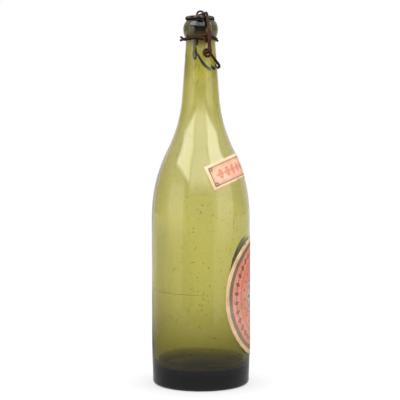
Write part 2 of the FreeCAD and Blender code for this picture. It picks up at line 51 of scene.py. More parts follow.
push_up_centre = at(0, -60.0)
body_top = at(41.0, 138.0)
shoulder_centre = at(-84.0, 138.0)
shoulder_round = 125.0 * mm
shoulder_end = at(27.61, 194.29)
hollow_centre = at(130.29, 246.07)
hollow_round = 115.0 * mm
hollow_end = at(15.59, 237.85)
neck_top = at(12.3, 283.0)


def glass_radius(height):
    """Outside radius of the glass at a height between the heel and the lip."""
    if height < body_top.z:
        return body_top.x
    if height < shoulder_end.z:
        return shoulder_centre.x + math.sqrt(shoulder_round ** 2 - (height - shoulder_centre.z) ** 2)
    if height < hollow_end.z:
        return hollow_centre.x - math.sqrt(hollow_round ** 2 - (height - hollow_centre.z) ** 2)
    share = min((height - hollow_end.z) / (neck_top.z - hollow_end.z), 1)
    return hollow_end.x + (neck_top.x - hollow_end.x) * share


def run_to(mesh, end, place, steps=1):
    """Draws a straight run of an outline from its end, and returns the new end."""
    start = end.co.copy()
    for step in range(1, steps + 1):
        end = bmesh.ops.extrude_vert_indiv(mesh, verts=[end])["verts"][0]
        end.co = start.lerp(place, step / steps)
    return end


def bend_to(mesh, end, centre, place, steps):
    """Draws an arc of an outline about a centre, and returns the new end."""
    first = math.atan2(end.co.z - centre.z, end.co.x - centre.x)
    last = math.atan2(place.z - centre.z, place.x - centre.x)
    turn = (last - first + math.pi) % (2 * math.pi) - math.pi
    arc = bmesh.ops.spin(mesh, geom=[end], cent=centre, axis=(0, -1, 0), angle=turn, steps=steps)
    return [corner for corner in arc["geom_last"] if isinstance(corner, bmesh.types.BMVert)][0]


def turned(mesh, steps):
    """Turns an outline about the bottle's axis into a closed skin."""
    outline = mesh.verts[:] + mesh.edges[:]
    bmesh.ops.spin(mesh, geom=outline, axis=(0, 0, 1), angle=2 * math.pi, steps=steps, use_merge=True)
    bmesh.ops.remove_doubles(mesh, verts=mesh.verts[:], dist=0.002 * mm)
    bmesh.ops.recalc_face_normals(mesh, faces=mesh.faces[:])


def finished(mesh, name, material):
    """Makes a smooth object of a mesh, with one material."""
    for face in mesh.faces:
        face.smooth = True
    data = bpy.data.meshes.new(name)
    mesh.to_mesh(data)
    mesh.free()
    data.materials.append(material)
    piece = bpy.data.objects.new(name, data)
    bpy.context.scene.collection.objects.link(piece)
    return piece


def put(tree, kind, inputs=None, **settings):
    """Adds a shader node, sets its properties, and sets or links its inputs."""
    item = tree.nodes.new(kind)
    for name, value in settings.items():
        setattr(item, name, value)
    for name, value in (inputs or {}).items():
        if isinstance(value, bpy.types.NodeSocket):
            tree.links.new(value, item.inputs[name])
        else:
            item.inputs[name].default_value = value
    return item


def maths(tree, operation, *values):
    """Adds a Math node, and returns its output."""
    return put(tree, "ShaderNodeMath", dict(enumerate(values)), operation=operation).outputs[0]


def ramp(tree, value, *stops):
    """Adds a colour ramp of (place, colour) stops, and returns its colour."""
    item = put(tree, "ShaderNodeValToRGB", {0: value})
    colours = item.color_ramp.elements
    for place, colour in stops[1:-1]:
        colours.new(place)
    colours[0].position = stops[0][0]
    colours[-1].position = stops[-1][0]
    for element, (place, colour) in zip(colours, stops):
        element.color = (*colour, 1)
    return item.outputs["Color"]


def mixed(tree, share, first, second, blend="MIX"):
    """Mixes two colours by a share."""
    item = put(tree, "ShaderNodeMix", data_type="RGBA", blend_type=blend)
    for place, value in ((0, share), (6, first), (7, second)):
        if isinstance(value, bpy.types.NodeSocket):
            tree.links.new(value, item.inputs[place])
        else:
            item.inputs[place].default_value = value if place == 0 else (*value, 1)
    return item.outputs[2]


def product(tree, first, *others):
    """Multiplies values together."""
    for value in others:
        first = maths(tree, "MULTIPLY", first, value)
    return first


def lying(tree, place, direction):
    """How far a place lies along a direction."""
    both = {0: place, 1: direction}
    return put(tree, "ShaderNodeVectorMath", both, operation="DOT_PRODUCT").outputs["Value"]


def length_of(tree, place):
    """How far a place lies from the middle."""
    return put(tree, "ShaderNodeVectorMath", {0: place}, operation="LENGTH").outputs["Value"]


def levelled(tree, place):
    """A place or a direction without its height."""
    both = {0: place, 1: (1, 1, 0)}
    return put(tree, "ShaderNodeVectorMath", both, operation="MULTIPLY").outputs["Vector"]


def clouded(tree, place, scale, detail, roughness=0.5):
    """A cloudy pattern of values from 0 to 1."""
    pattern = {"Vector": place, "Scale": scale, "Detail": detail, "Roughness": roughness}
    return put(tree, "ShaderNodeTexNoise", pattern).outputs[0]


def spotted(tree, place, scale, feature="F1"):
    """How far a place is from the nearest of many scattered spots."""
    pattern = {"Vector": place, "Scale": scale}
    return put(tree, "ShaderNodeTexVoronoi", pattern, feature=feature).outputs["Distance"]


def above(tree, value, edge, soft):
    """A mask that is white where a value is above an edge."""
    spread = {"Value": value, "From Min": edge - soft, "From Max": edge + soft}
    return put(tree, "ShaderNodeMapRange", spread, interpolation_type="SMOOTHSTEP").outputs[0]


def below(tree, value, edge, soft):
    """A mask that is white where a value is below an edge."""
    return maths(tree, "SUBTRACT", 1, above(tree, value, edge, soft))


def between(tree, value, low, high, soft):
    """A mask that is white where a value lies between two edges."""
    return maths(tree, "SUBTRACT", above(tree, value, low, soft), above(tree, value, high, soft))


def new_material(name):
    """A new material, with its node tree and its shader."""
    material = bpy.data.materials.new(name)
    material.use_nodes = True
    tree = material.node_tree
    return material, tree, tree.nodes["Principled BSDF"]


def roughen(tree, shader, height, strength, depth):
    """Gives a shader a fine relief."""
    relief = put(tree, "ShaderNodeBump", {"Height": height, "Strength": strength, "Distance": depth})
    tree.links.new(relief.outputs[0], shader.inputs["Normal"])


glass = bmesh.new()
end = glass.verts.new(at(0, 8.0))
# Push-up, foot and heel
end = bend_to(glass, end, push_up_centre, at(32.0, 0), 16)
end = run_to(glass, end, at(36.6, 0), 3)
end = bend_to(glass, end, at(36.6, 3.4), at(39.99, 3.24), 6)
end = bend_to(glass, end, at(41.0 - 869.2, 45.0), at(41.0, 45.0), 14)
# Side, shoulder and neck
end = run_to(glass, end, body_top, 30)
end = bend_to(glass, end, shoulder_centre, shoulder_end, 24)
end = bend_to(glass, end, hollow_centre, hollow_end, 18)
end = run_to(glass, end, neck_top, 14)
# Lip and mouth
end = run_to(glass, end, at(12.25, 285.3), 2)
end = bend_to(glass, end, at(-1.56, 293.4), at(14.45, 293.4), 8)
end = bend_to(glass, end, at(4.45, 293.4), at(12.63, 299.15), 7)
end = bend_to(glass, end, at(10.99, 298.0), at(10.99, 300.0), 5)
end = run_to(glass, end, at(10.6, 300.0))
end = bend_to(glass, end, at(10.6, 298.8), at(9.4, 298.8), 4)
# Inside, from the mouth down to the base
end = run_to(glass, end, at(8.83, 281.0), 8)
end = run_to(glass, end, at(12.0, 237.6), 12)
end = bend_to(glass, end, hollow_centre, at(24.4, 192.67), 18)
end = bend_to(glass, end, shoulder_centre, at(37.4, 138.0), 24)
end = run_to(glass, end, at(37.4, 72.0), 20)
end = bend_to(glass, end, at(37.4 - 901.9, 72.0), at(35.9, 20.0), 16)
end = bend_to(glass, end, at(31.9, 20.0), at(30.42, 16.29), 6)
bend_to(glass, end, push_up_centre, at(0, 22.13), 14)
turned(glass, 144)


def risen(value, low, high):
    """How far a value has risen from a low to a high one, from 0 to 1."""
    return min(max((value - low) / (high - low), 0), 1)


def glass_wave(x, y, height, inside):
    """How far the blown wall stands out of true at a place; the bore also narrows in the upper neck."""
    slow = noise.noise(Vector((x * 26, y * 26, height * 12 + (7 if inside else 0))))
    quick = noise.noise(Vector((x * 75, y * 75, height * 34)))
    if inside:
        calm = 1 - 0.8 * risen(height, 200 * mm, 240 * mm)
        choke = 0.7 * mm * (1 - math.cos(2 * math.pi * risen(height, 246 * mm, 281 * mm)))
        return calm * (0.2 * mm * slow + 0.04 * mm * quick) - choke
    return -0.16 * mm * (1 + slow) - 0.05 * mm * (1 + quick)


# The foot, the middle of the base and the lip stay true
outside_skin = glass.verts.layers.float.new("outside")
for corner in glass.verts:
    across = Vector((corner.co.x, corner.co.y))
    height = corner.co.z
    if across.length < 1 * mm or height < 4 * mm or height > 280 * mm:
        continue
    inside = glass_radius(height) - across.length > 1.5 * mm
    corner[outside_skin] = 0 if inside else 1
    across *= 1 + glass_wave(across.x, across.y, height, inside) / across.length
    corner.co.x, corner.co.y = across

# Seeds: small drawn-out bubbles, closed skins that face into the air they hold
seed_count = 130
bubbles = bmesh.new()
seeds = random.Random(11)
for number in range(seed_count):
    height = seeds.uniform(30, 275) * mm
    turn = seeds.uniform(0, 2 * math.pi)
    reach = glass_radius(height) - seeds.uniform(0.9, 2.4) * mm
    width = seeds.choice((0.16, 0.2, 0.25, 0.32, 0.45)) * mm
    length = width * seeds.uniform(1.0, 2.6)
    spot = Matrix.Translation((reach * math.cos(turn), reach * math.sin(turn), height))
    spot @= Matrix.Diagonal((width, width, length, 1))
    bmesh.ops.create_icosphere(bubbles, subdivisions=2, radius=1, matrix=spot)
bmesh.ops.reverse_faces(bubbles, faces=bubbles.faces[:])
bubble_skins = bpy.data.meshes.new("bubble_skins")
bubbles.to_mesh(bubble_skins)
bubbles.free()
glass.from_mesh(bubble_skins)

olive_glass, tree, shader = new_material("olive_glass")
shader.inputs["IOR"].default_value = 1.5
shader.inputs["Transmission Weight"].default_value = 1
shader.inputs["Coat Roughness"].default_value = 0.6
depth = put(tree, "ShaderNodeVolumeAbsorption", {"Color": (0.725, 0.684, 0.021, 1), "Density": 335})
tree.links.new(depth.outputs[0], tree.nodes["Material Output"].inputs["Volume"])
place = put(tree, "ShaderNodeTexCoord").outputs["Object"]
sides = put(tree, "ShaderNodeSeparateXYZ", {0: place})
height = sides.outputs["Z"]
across = length_of(tree, levelled(tree, place))
# The neck is a little darker than the body, and the lip darker again
shade = ramp(
    tree,
    maths(tree, "DIVIDE", height, 300 * mm),
    (0.72, (1, 1, 1)),
    (0.82, (0.93, 0.93, 0.93)),
    (0.875, (0.99, 0.99, 0.99)),
    (0.91, (0.85, 0.85, 0.85)),
    (0.925, (0.8, 0.8, 0.8)),
    (0.94, (0.54, 0.51, 0.45)),
    (0.955, (0.33, 0.31, 0.25)),
)
# Specks of dirt and a film of dust on the outside
outside = put(tree, "ShaderNodeAttribute", attribute_name="outside").outputs["Fac"]
specks = product(tree, below(tree, spotted(tree, place, 200), 0.13, 0.04), outside, 0.6)
shade = mixed(tree, specks, shade, (0.18, 0.15, 0.09))
high_film = maths(
    tree, "SUBTRACT", above(tree, height, 125 * mm, 35 * mm), above(tree, height, 222 * mm, 14 * mm)
)
low_film = between(tree, height, 15 * mm, 34 * mm, 6 * mm)
film = maths(tree, "MULTIPLY_ADD", low_film, 0.5, high_film)
patchy = maths(tree, "MULTIPLY_ADD", clouded(tree, place, 40, 5), 0.6, 0.6)
tree.links.new(product(tree, film, outside, patchy), shader.inputs["Coat Weight"])
# The inside of one side, from 42 to 130 mm up, is tinted darker and bluer: painted shade on that side
shaded_side = (math.cos(math.radians(68)), math.sin(math.radians(68)), 0)
side_shade_facing = above(tree, lying(tree, place, shaded_side), 27 * mm, 7.5 * mm)
side_shade_band = between(tree, height, 42 * mm, 130 * mm, 12 * mm)
painted_side_shade = product(tree, side_shade_facing, side_shade_band, maths(tree, "SUBTRACT", 1, outside))
shade = mixed(tree, painted_side_shade, shade, (0.78, 0.79, 0.9))
# The inside of the base, about 11 to 25 mm up, is darkened brown and dulled: partly dried dregs, partly
# painted shade of the thick base
dregs_and_shade_level = maths(tree, "MULTIPLY_ADD", above(tree, across, 33 * mm, 2 * mm), 3 * mm, height)
within = below(tree, across, 36.6 * mm, 0.4 * mm)
dregs_and_shade = product(tree, between(tree, dregs_and_shade_level, 11 * mm, 25 * mm, 1.5 * mm), within)
shade = mixed(tree, dregs_and_shade, shade, (0.3, 0.25, 0.13))
# A crease across the side, where the two halves of the mould met badly
bearing = maths(tree, "ARCTAN2", sides.outputs["Y"], sides.outputs["X"])
level = maths(tree, "MULTIPLY_ADD", bearing, 0.8 * mm, height)
level = maths(tree, "MULTIPLY_ADD", clouded(tree, place, 60, 3), 1.6 * mm, level)
crease_line = between(tree, level, 80.5 * mm, 81.1 * mm, 0.2 * mm)
crease_part = between(tree, bearing, math.radians(76), math.radians(172), math.radians(6))
crease_fade = maths(
    tree, "MULTIPLY_ADD", above(tree, bearing, math.radians(155), math.radians(12)), -0.6, 1
)
crease = product(tree, crease_line, crease_part, crease_fade, outside)
shade = mixed(tree, crease, shade, (0.6, 0.56, 0.46))
tree.links.new(shade, shader.inputs["Base Color"])
# The mouth is ground inside for the plug, and the lip around it is rubbed a little dull
ground_share = maths(tree, "MULTIPLY_ADD", above(tree, across, 10 * mm, 0.3 * mm), -0.75, 1)
ground = product(tree, above(tree, height, 287 * mm, 2 * mm), ground_share)
dull = maths(tree, "MULTIPLY_ADD", dregs_and_shade, 0.5, maths(tree, "MULTIPLY_ADD", ground, 0.25, 0.015))
tree.links.new(dull, shader.inputs["Roughness"])
# Marks of the cold mould below the neck
relief = maths(tree, "MULTIPLY_ADD", crease, -0.3, clouded(tree, place, 55, 2))
relief = product(tree, relief, below(tree, height, 240 * mm, 20 * mm))
roughen(tree, shader, relief, 0.12, 0.6 * mm)

bottle = finished(glass, "bottle_glass", olive_glass)
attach(bottle, "bottle")
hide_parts("glass_bottle")

# Body label: an oval of thin printed paper, cut with a die and pasted on the straight side. Its paper has
# gone brown at the edge and lies close on the uneven glass, with a few wrinkles and a nick in its rim.
label_facing = math.radians(246.0)
oval_half_width = 42.5 * mm
oval_half_height = 49.5 * mm
oval_height = 73.5 * mm
paper = 0.12 * mm
pasted_back = (0.34, 0.25, 0.15)


def on_glass(turn, height, lift):
    """A place on the outside of the blown glass, lifted off it a little."""
    radius = glass_radius(height)
    radius += glass_wave(radius * math.cos(turn), radius * math.sin(turn), height, False) + lift
    return Vector((radius * math.cos(turn), radius * math.sin(turn), height))


def keep_flat(mesh):
    """Keeps the places of a flat sheet, from -1 to 1, as its print map."""
    flat = mesh.loops.layers.uv.new("print")
    for face in mesh.faces:
        for loop in face.loops:
            loop[flat].uv = (0.5 + loop.vert.co.x / 2, 0.5 + loop.vert.co.y / 2)


def pasted(mesh, name, material):
    """Gives a pasted sheet its thickness, and has it ride on the bottle in place of its plain solid."""
    printed = mesh.verts.layers.float.new("printed")
    front = bmesh.ops.extrude_face_region(mesh, geom=mesh.faces[:], use_keep_orig=True)
    for corner in front["geom"]:
        if isinstance(corner, bmesh.types.BMVert):
            corner.co += corner.co.xy.normalized().to_3d() * paper
            corner[printed] = 1
    bmesh.ops.recalc_face_normals(mesh, faces=mesh.faces[:])
    sheet = finished(mesh, name + "_paper", material)
    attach(sheet, "bottle")
    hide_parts(name)
    return sheet


aged = bpy.data.node_groups.new("aged_paper", "ShaderNodeTree")
for name, kind in (("Tint", "NodeSocketColor"), ("Wear", "NodeSocketFloat"), ("Height", "NodeSocketFloat")):
    aged.interface.new_socket(name, in_out="OUTPUT", socket_type=kind)
aged_out = put(aged, "NodeGroupOutput")
place = put(aged, "ShaderNodeTexCoord").outputs["Object"]
damp = clouded(aged, place, 70, 5, 0.6)
fibres = clouded(aged, place, 1500, 3)
browned = ramp(aged, damp, (0.3, (0.8, 0.7, 0.58)), (0.55, (1, 1, 1)))
foxed = ramp(aged, spotted(aged, place, 330), (0.06, (0.62, 0.45, 0.3)), (0.16, (1, 1, 1)))
grain = ramp(aged, fibres, (0.3, (0.86, 0.85, 0.83)), (0.6, (1, 1, 1)))
tint = mixed(aged, 1.0, mixed(aged, 1.0, browned, foxed, "MULTIPLY"), grain, "MULTIPLY")
aged.links.new(tint, aged_out.inputs["Tint"])
thin = maths(aged, "MULTIPLY_ADD", damp, 0.5, fibres)
aged.links.new(above(aged, thin, 0.62, 0.16), aged_out.inputs["Wear"])
aged.links.new(maths(aged, "MULTIPLY_ADD", damp, 2.0, fibres), aged_out.inputs["Height"])


def print_on(tree, shader, age, picture):
    """Prints a picture on the front of aged paper; its back is brown with paste."""
    front = put(tree, "ShaderNodeAttribute", attribute_name="printed").outputs["Fac"]
    picture = mixed(tree, front, pasted_back, picture)
    picture = mixed(tree, 1.0, picture, age.outputs["Tint"], "MULTIPLY")
    tree.links.new(picture, shader.inputs["Base Color"])


def printed_paper(name):
    """Aged paper, ready for its print: its material, tree, shader, flat places and age."""
    material, tree, shader = new_material(name)
    age = put(tree, "ShaderNodeGroup", node_tree=aged)
    spread = put(tree, "ShaderNodeUVMap", uv_map="print").outputs["UV"]
    doubled = {0: spread, 1: (2, 2, 0), 2: (-1, -1, 0)}
    flat = put(tree, "ShaderNodeVectorMath", doubled, operation="MULTIPLY_ADD").outputs["Vector"]
    shader.inputs["Roughness"].default_value = 0.72
    roughen(tree, shader, age.outputs["Height"], 0.35, 0.2 * mm)
    return material, tree, shader, flat, age


oval = bmesh.new()
run_to(oval, oval.verts.new((0, 0, 0)), Vector((1, 0, 0)), 28)
spoke = oval.verts[:] + oval.edges[:]
bmesh.ops.spin(oval, geom=spoke, axis=(0, 0, 1), angle=2 * math.pi, steps=240, use_merge=True)
bmesh.ops.remove_doubles(oval, verts=oval.verts[:], dist=0.0001)
keep_flat(oval)
nick = Vector((math.cos(math.radians(116.8)), math.sin(math.radians(116.8)), 0))
for corner in oval.verts:
    share = corner.co.length
    ragged = 0.006 * noise.noise(corner.co * 14) + 0.004 * noise.noise(corner.co * 45)
    torn = 0.035 * max(0, 1 - (corner.co - nick).length / 0.035)
    flat = corner.co * (1 + share ** 12 * (ragged - 0.006 - torn))
    flat.x -= 0.1 * max(0, flat.x) ** 3
    turn = label_facing + flat.x * oval_half_width / body_top.x
    height = oval_height + flat.y * oval_half_height
    wrinkle = max(0, noise.noise(Vector((flat.x * 3, flat.y * 9, 4)))) ** 2
    corner.co = on_glass(turn, height, 0.03 * mm + 0.12 * mm * wrinkle)

oval_print, tree, shader, flat, age = printed_paper("oval_print")
rub = clouded(tree, flat, 60, 4)
out = maths(tree, "MULTIPLY_ADD", rub, 0.008, maths(tree, "ADD", length_of(tree, flat), -0.004))
sides = put(tree, "ShaderNodeSeparateXYZ", {0: flat})
turns = maths(tree, "DIVIDE", maths(tree, "ARCTAN2", sides.outputs["Y"], sides.outputs["X"]), 2 * math.pi)


def lozenge_ring(tree, count, middle, half_length, half_width, shift):
    """A mask of lozenges set around the oval; sizes are shares of the oval's half width."""
    along = maths(tree, "FRACT", maths(tree, "MULTIPLY_ADD", turns, count, shift))
    along = maths(tree, "ABSOLUTE", maths(tree, "ADD", along, -0.5))
    along = maths(tree, "MULTIPLY", along, 2 * math.pi * middle / count / half_width)
    across = maths(tree, "ABSOLUTE", maths(tree, "ADD", out, -middle))
    reach = maths(tree, "MULTIPLY_ADD", across, 1 / half_length, along)
    return below(tree, reach, 1.0, 0.12)


cream = (0.9, 0.62, 0.36)
salmon = (0.86, 0.31, 0.215)
ink = (0.075, 0.042, 0.032)
stone_grey = (0.62, 0.55, 0.44)
painted_light_tint = (1.0, 0.85, 0.7)
grey_ring = ramp(tree, rub, (0.35, (0.12, 0.09, 0.07)), (0.65, (0.3, 0.23, 0.17)))
petals = maths(tree, "COSINE", maths(tree, "MULTIPLY", turns, 2 * math.pi * 10))
flower = maths(tree, "SUBTRACT", out, maths(tree, "MULTIPLY", petals, 0.04))
picture = mixed(tree, above(tree, out, 0.835, 0.006), salmon, grey_ring)
picture = mixed(tree, above(tree, out, 0.914, 0.004), picture, cream)
picture = mixed(tree, between(tree, flower, 0.0, 0.36, 0.006), picture, stone_grey)
for mask in (
    lozenge_ring(tree, count=30, middle=0.725, half_length=0.066, half_width=0.05, shift=0.0),
    lozenge_ring(tree, count=30, middle=0.725, half_length=0.022, half_width=0.022, shift=0.5),
    between(tree, out, 0.592, 0.602, 0.004),
    between(tree, out, 0.566, 0.571, 0.003),
    between(tree, flower, 0.345, 0.36, 0.005),
    lozenge_ring(tree, count=10, middle=0.24, half_length=0.09, half_width=0.035, shift=0.5),
    between(tree, out, 0.06, 0.085, 0.005),
    lozenge_ring(tree, count=20, middle=0.48, half_length=0.035, half_width=0.022, shift=0.25),
):
    worn = maths(tree, "MULTIPLY_ADD", age.outputs["Wear"], -0.25, 1)
    picture = mixed(tree, product(tree, mask, worn), picture, ink)
# The lower half is lightened towards a pale tint: painted light
painted_light_share = maths(tree, "MULTIPLY_ADD", above(tree, sides.outputs["Y"], 0.0, 0.3), -0.16, 0.16)
picture = mixed(tree, painted_light_share, picture, painted_light_tint)
print_on(tree, shader, age, picture)
pasted(oval, "body_label", oval_print)

# Neck label: a narrow printed strip, wrapped on a slant round the shoulder and pasted down, so that its two
# ends stop short of each other at the back. Its lower edge is torn in one place.
strip_width = 20.8 * mm
strip_half_length = 49.0 * mm
strip_tilt = math.radians(24.4)
strip_end_forward = 3.7 * mm
strip_end_height = 179.2 * mm


def strip_place(along, across):
    """The turn and height on the glass of a place on the strip, both from -1 to 1."""
    drop = (across - 1) / 2 * strip_width
    end_height = strip_end_height + drop * math.cos(strip_tilt)
    end_forward = strip_end_forward - drop * math.sin(strip_tilt)
    turn = along * math.acos(end_forward / glass_radius(end_height))
    height = end_height
    # Each round brings the height nearer to where the slanted strip meets the glass
    for step in range(12):
        forward = glass_radius(height) * math.cos(turn) - strip_end_forward
        height = strip_end_height + (drop + forward * math.sin(strip_tilt)) / math.cos(strip_tilt)
    return label_facing + turn, height


strip = bmesh.new()
bmesh.ops.create_grid(strip, x_segments=150, y_segments=24, size=1)
keep_flat(strip)
for corner in strip.verts:
    along, across = corner.co.x, corner.co.y
    torn = 0.16 * max(0, 1 - abs(along + 0.44) / 0.02) if across < -0.9 else 0
    across = min(max(across + torn + 0.012 * noise.noise(Vector((along * 20, across * 3, 0))), -1), 1)
    turn, height = strip_place(along, across)
    wrinkle = max(0, noise.noise(Vector((along * 9, across * 2, 9)))) ** 2
    corner.co = on_glass(turn, height, 0.03 * mm + 0.1 * mm * wrinkle)

strip_print, tree, shader, flat, age = printed_paper("strip_print")
rub = clouded(tree, flat, 40, 4)
sides = put(tree, "ShaderNodeSeparateXYZ", {0: flat})
lengthways = maths(tree, "MULTIPLY", sides.outputs["X"], strip_half_length / mm)
crossways = maths(tree, "MULTIPLY", sides.outputs["Y"], strip_width / mm / 2)
from_end = maths(tree, "SUBTRACT", strip_half_length / mm, maths(tree, "ABSOLUTE", lengthways))
from_side = maths(tree, "SUBTRACT", strip_width / mm / 2, maths(tree, "ABSOLUTE", crossways))
rim = maths(tree, "MINIMUM", from_end, from_side)
rim = maths(tree, "MULTIPLY_ADD", rub, 0.3, maths(tree, "ADD", rim, -0.15))
farther = maths(tree, "MAXIMUM", from_end, from_side)
hatch = maths(tree, "FRACT", maths(tree, "MULTIPLY", maths(tree, "ADD", lengthways, crossways), 0.8))
pale = (0.93, 0.68, 0.45)
blush = (0.93, 0.56, 0.39)
pink = (0.78, 0.26, 0.19)
red = (0.62, 0.05, 0.03)
picture = mixed(tree, above(tree, rim, 2.4, 0.1), pale, blush)
hatched = product(tree, between(tree, rim, 3.3, 4.6, 0.1), above(tree, hatch, 0.5, 0.12), 0.8)
picture = mixed(tree, hatched, picture, pink)
picture = mixed(tree, between(tree, rim, 2.4, 3.0, 0.1), picture, ink)
# A framed square in each corner, and diamonds with dots between them along the middle
for near_edge, far_edge, colour in ((2.4, 5.2, ink), (3.3, 4.4, pale)):
    square = (between(tree, gap, near_edge, far_edge, 0.1) for gap in (rim, farther))
    picture = mixed(tree, product(tree, *square), picture, colour)
diamond_step = 7.0
beat = maths(tree, "FRACT", maths(tree, "DIVIDE", lengthways, diamond_step))
beat = product(tree, maths(tree, "ABSOLUTE", maths(tree, "ADD", beat, -0.5)), diamond_step)
middle = maths(tree, "ABSOLUTE", crossways)
diamond = maths(tree, "MULTIPLY_ADD", middle, 0.62, beat)
dot = maths(tree, "MULTIPLY_ADD", middle, 0.8, maths(tree, "SUBTRACT", diamond_step / 2, beat))
field = above(tree, from_end, 6.5, 0.2)
for mask in (
    between(tree, diamond, 1.75, 2.6, 0.15),
    below(tree, diamond, 0.85, 0.15),
    below(tree, dot, 0.6, 0.1),
):
    picture = mixed(tree, product(tree, mask, field, 0.95), picture, red)
print_on(tree, shader, age, picture)
pasted(strip, "neck_label", strip_print)

# Wires and washers: soft iron wire bent by hand, and two stamped plates. All are brown with rust, and
# brighter red where the wet stands. Their shapes are those of the solids.
rust = bpy.data.node_groups.new("rusted_iron", "ShaderNodeTree")
rust.interface.new_socket("Redness", in_out="INPUT", socket_type="NodeSocketFloat")
rust.interface.new_socket("Color", in_out="OUTPUT", socket_type="NodeSocketColor")
rust.interface.new_socket("Roughness", in_out="OUTPUT", socket_type="NodeSocketFloat")
rust.interface.new_socket("Height", in_out="OUTPUT", socket_type="NodeSocketFloat")
rust_in = put(rust, "NodeGroupInput")
rust_out = put(rust, "NodeGroupOutput")
place = put(rust, "ShaderNodeTexCoord").outputs["Object"]
patches = clouded(rust, place, 180, 5, 0.65)
grains = clouded(rust, place, 1400, 4)
pits = spotted(rust, place, 900, "SMOOTH_F1")
brown = ramp(
    rust,
    grains,
    (0.25, (0.006, 0.003, 0.002)),
    (0.5, (0.022, 0.009, 0.006)),
    (0.75, (0.056, 0.026, 0.017)),
)
red = ramp(
    rust,
    grains,
    (0.25, (0.042, 0.009, 0.004)),
    (0.55, (0.11, 0.028, 0.011)),
    (0.8, (0.22, 0.08, 0.034)),
)
spread = maths(rust, "MULTIPLY_ADD", patches, 1.6, maths(rust, "ADD", rust_in.outputs[0], -1.05))
blotch = ramp(rust, spread, (0.1, (0, 0, 0)), (0.5, (1, 1, 1)))
rust.links.new(mixed(rust, blotch, brown, red), rust_out.inputs["Color"])
rust.links.new(maths(rust, "MULTIPLY_ADD", grains, 0.4, 0.45), rust_out.inputs["Roughness"])
rust.links.new(maths(rust, "MULTIPLY_ADD", pits, -0.6, grains), rust_out.inputs["Height"])


def rusty(name, redness, depth):
    """Iron with its own share of red rust and depth of pitting."""
    material, tree, shader = new_material(name)
    coat = put(tree, "ShaderNodeGroup", node_tree=rust)
    coat.inputs["Redness"].default_value = redness
    shader.inputs["Specular IOR Level"].default_value = 0.2
    tree.links.new(coat.outputs["Color"], shader.inputs["Base Color"])
    tree.links.new(coat.outputs["Roughness"], shader.inputs["Roughness"])
    roughen(tree, shader, coat.outputs["Height"], 0.6, depth)
    return material


def dress(name, material):
    """Gives a solid of the frame its material."""
    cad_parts[name].data.materials.clear()
    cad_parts[name].data.materials.append(material)


bail_iron = rusty("bail_iron", redness=0.43, depth=0.3 * mm)
neck_iron = rusty("neck_iron", redness=0.52, depth=0.3 * mm)
plate_iron = rusty("plate_iron", redness=0.6, depth=0.2 * mm)
for name, material in (
    ("lever_bail", bail_iron),
    ("yoke_bail", bail_iron),
    ("neck_wire_left", neck_iron),
    ("neck_wire_right", neck_iron),
    ("stopper_eye", bail_iron),
    ("top_washer", plate_iron),
    ("clinch_washer", plate_iron),
):
    dress(name, material)

# Stopper: a plug and a disc of hard black rubber in one. It has gone grey and chalky outside, the rim of the
# disc is worn and chipped, and the disc has crept off the middle and droops.
rubber = bmesh.new()
end = rubber.verts.new(at(0, 294.6))
end = run_to(rubber, end, at(6.1, 294.6), 6)
end = bend_to(rubber, end, at(6.1, 295.4), at(6.9, 295.4), 4)
end = run_to(rubber, end, at(8.2, 301.05), 8)
end = run_to(rubber, end, at(11.1, 301.05), 4)
end = bend_to(rubber, end, at(11.1, 302.05), at(12.1, 302.05), 4)
end = run_to(rubber, end, at(12.1, 302.35), 2)
end = bend_to(rubber, end, at(11.1, 302.35), at(11.1, 303.35), 4)
run_to(rubber, end, at(0, 303.35), 8)
turned(rubber, 96)
off_middle = Vector((0.24, 0.6)) * mm
for corner in rubber.verts:
    across = Vector((corner.co.x, corner.co.y))
    rim = risen(across.length, 10.6 * mm, 11.6 * mm)
    droop = 0.35 * mm * rim * (1 - risen(corner.co.z, 301.4 * mm, 302.4 * mm))
    worn = noise.noise(corner.co * 420) + 0.6 * noise.noise(corner.co * 1100)
    across *= 1 - 0.025 * rim * max(0, worn + 0.2)
    across += off_middle * rim
    corner.co = (*across, corner.co.z - droop - 0.2 * mm * rim * max(0, worn))

hard_rubber, tree, shader = new_material("hard_rubber")
place = put(tree, "ShaderNodeTexCoord").outputs["Object"]
cloudy = clouded(tree, place, 380, 6, 0.7)
chalk = ramp(
    tree,
    cloudy,
    (0.36, (0.006, 0.004, 0.003)),
    (0.5, (0.055, 0.044, 0.036)),
    (0.66, (0.19, 0.16, 0.135)),
)
height = put(tree, "ShaderNodeSeparateXYZ", {0: place}).outputs["Z"]
weathered = above(tree, height, 301.0 * mm, 0.3 * mm)
tree.links.new(mixed(tree, weathered, (0.03, 0.026, 0.024), chalk), shader.inputs["Base Color"])
shader.inputs["Roughness"].default_value = 0.85
shader.inputs["Specular IOR Level"].default_value = 0.1
roughen(tree, shader, cloudy, 0.7, 0.4 * mm)
stopper = finished(rubber, "stopper_rubber", hard_rubber)
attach(stopper, "stopper")
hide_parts("rubber_stopper")

# Seal: a soft black rubber ring under the disc, pressed flat on the lip. Only its dark edge shows between
# the two, and its shape is that of the solid.
seal_rubber, tree, shader = new_material("seal_rubber")
place = put(tree, "ShaderNodeTexCoord").outputs["Object"]
# Near black: partly the rubber's own colour, partly painted shade under the disc
dust_and_shade = ramp(tree, clouded(tree, place, 500, 4), (0.35, (0.004, 0.004, 0.003)), (0.7, (0.015, 0.013, 0.011)))
tree.links.new(dust_and_shade, shader.inputs["Base Color"])
shader.inputs["Roughness"].default_value = 0.8
shader.inputs["Specular IOR Level"].default_value = 0.1
dress("seal_ring", seal_rubber)

